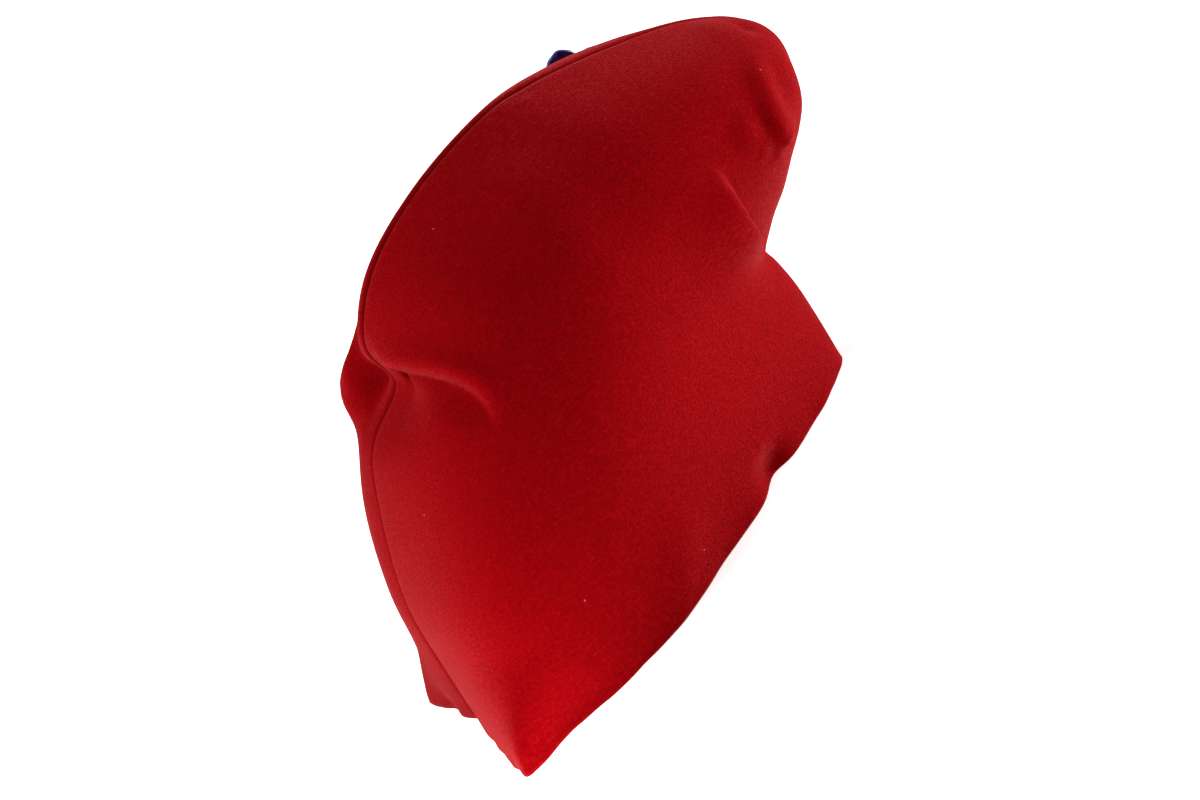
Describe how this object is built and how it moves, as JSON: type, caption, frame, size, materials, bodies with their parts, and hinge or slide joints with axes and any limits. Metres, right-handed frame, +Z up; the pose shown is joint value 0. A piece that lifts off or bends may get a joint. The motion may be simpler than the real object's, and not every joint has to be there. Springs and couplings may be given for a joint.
{
  "type": "phrygian cap",
  "caption": "Soft red felt cap with a forward-drooping tip, sewn from side panels along a seam over the crest, with a pleated tricolour cockade on the left.",
  "frame": {"origin": "middle of the cap's outer box, on the surface that the rim rests on", "axes": "+X to the front, where the tip droops, +Y to the wearer's left, +Z up"},
  "size_m": [0.28, 0.1462, 0.178],
  "materials": {
    "red_felt": "soft napped wool felt",
    "blue_ribbon": "satin ribbon",
    "white_ribbon": "satin ribbon",
    "red_button": "felt-covered button"
  },
  "bodies": {
    "root": {"right_panel": "red_felt", "left_panel": "red_felt", "blue_ribbon": "blue_ribbon", "white_ribbon": "white_ribbon", "red_centre": "red_button"}
  },
  "joints": []
}
